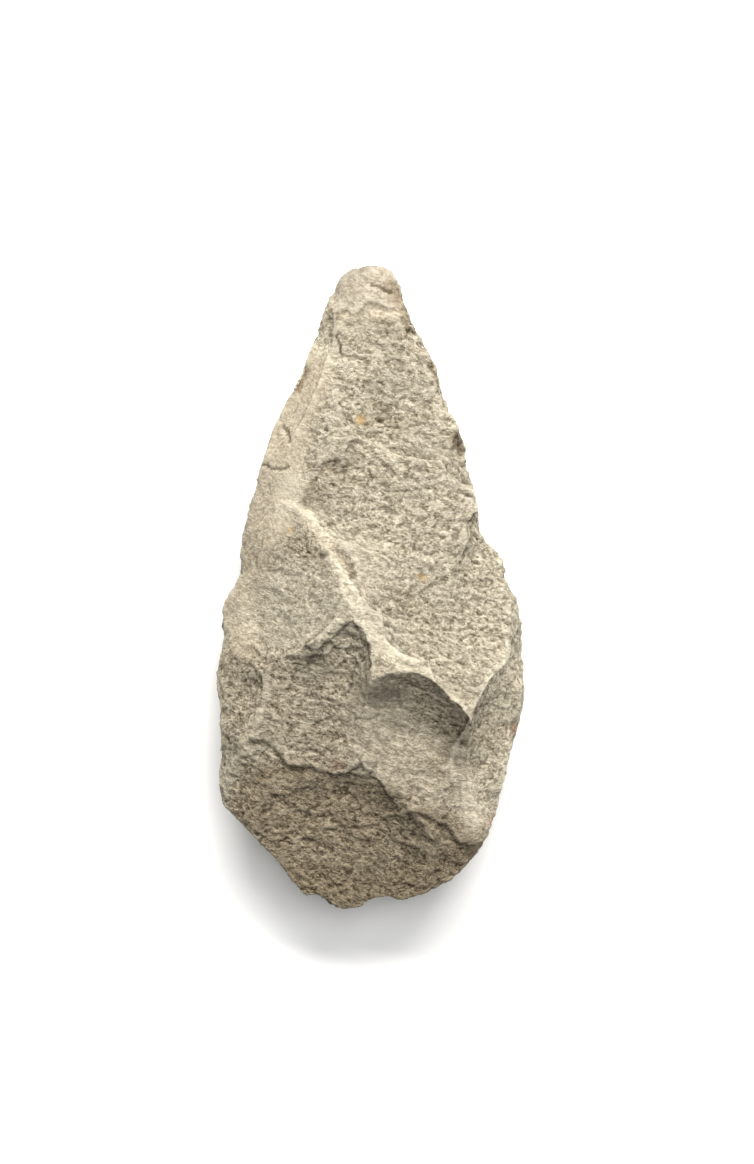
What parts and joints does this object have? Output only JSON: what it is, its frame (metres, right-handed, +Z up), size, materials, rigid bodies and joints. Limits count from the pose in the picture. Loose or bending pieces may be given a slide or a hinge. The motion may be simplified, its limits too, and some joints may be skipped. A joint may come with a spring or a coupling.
{
  "type": "stone hand axe",
  "caption": "Pear-shaped stone hand axe, knapped on both faces to a rounded tip and a broad butt.",
  "frame": {"origin": "centre of the bounding box in plan, at the surface that the axe lies on", "axes": "+Y from butt to tip, +X across towards the right edge, +Z up through the upper face"},
  "size_m": [0.092, 0.19, 0.0468],
  "materials": {
    "stone": "rough, matte, coarse-grained warm beige-grey stone"
  },
  "bodies": {
    "root": {"hand_axe": "stone"}
  },
  "joints": []
}
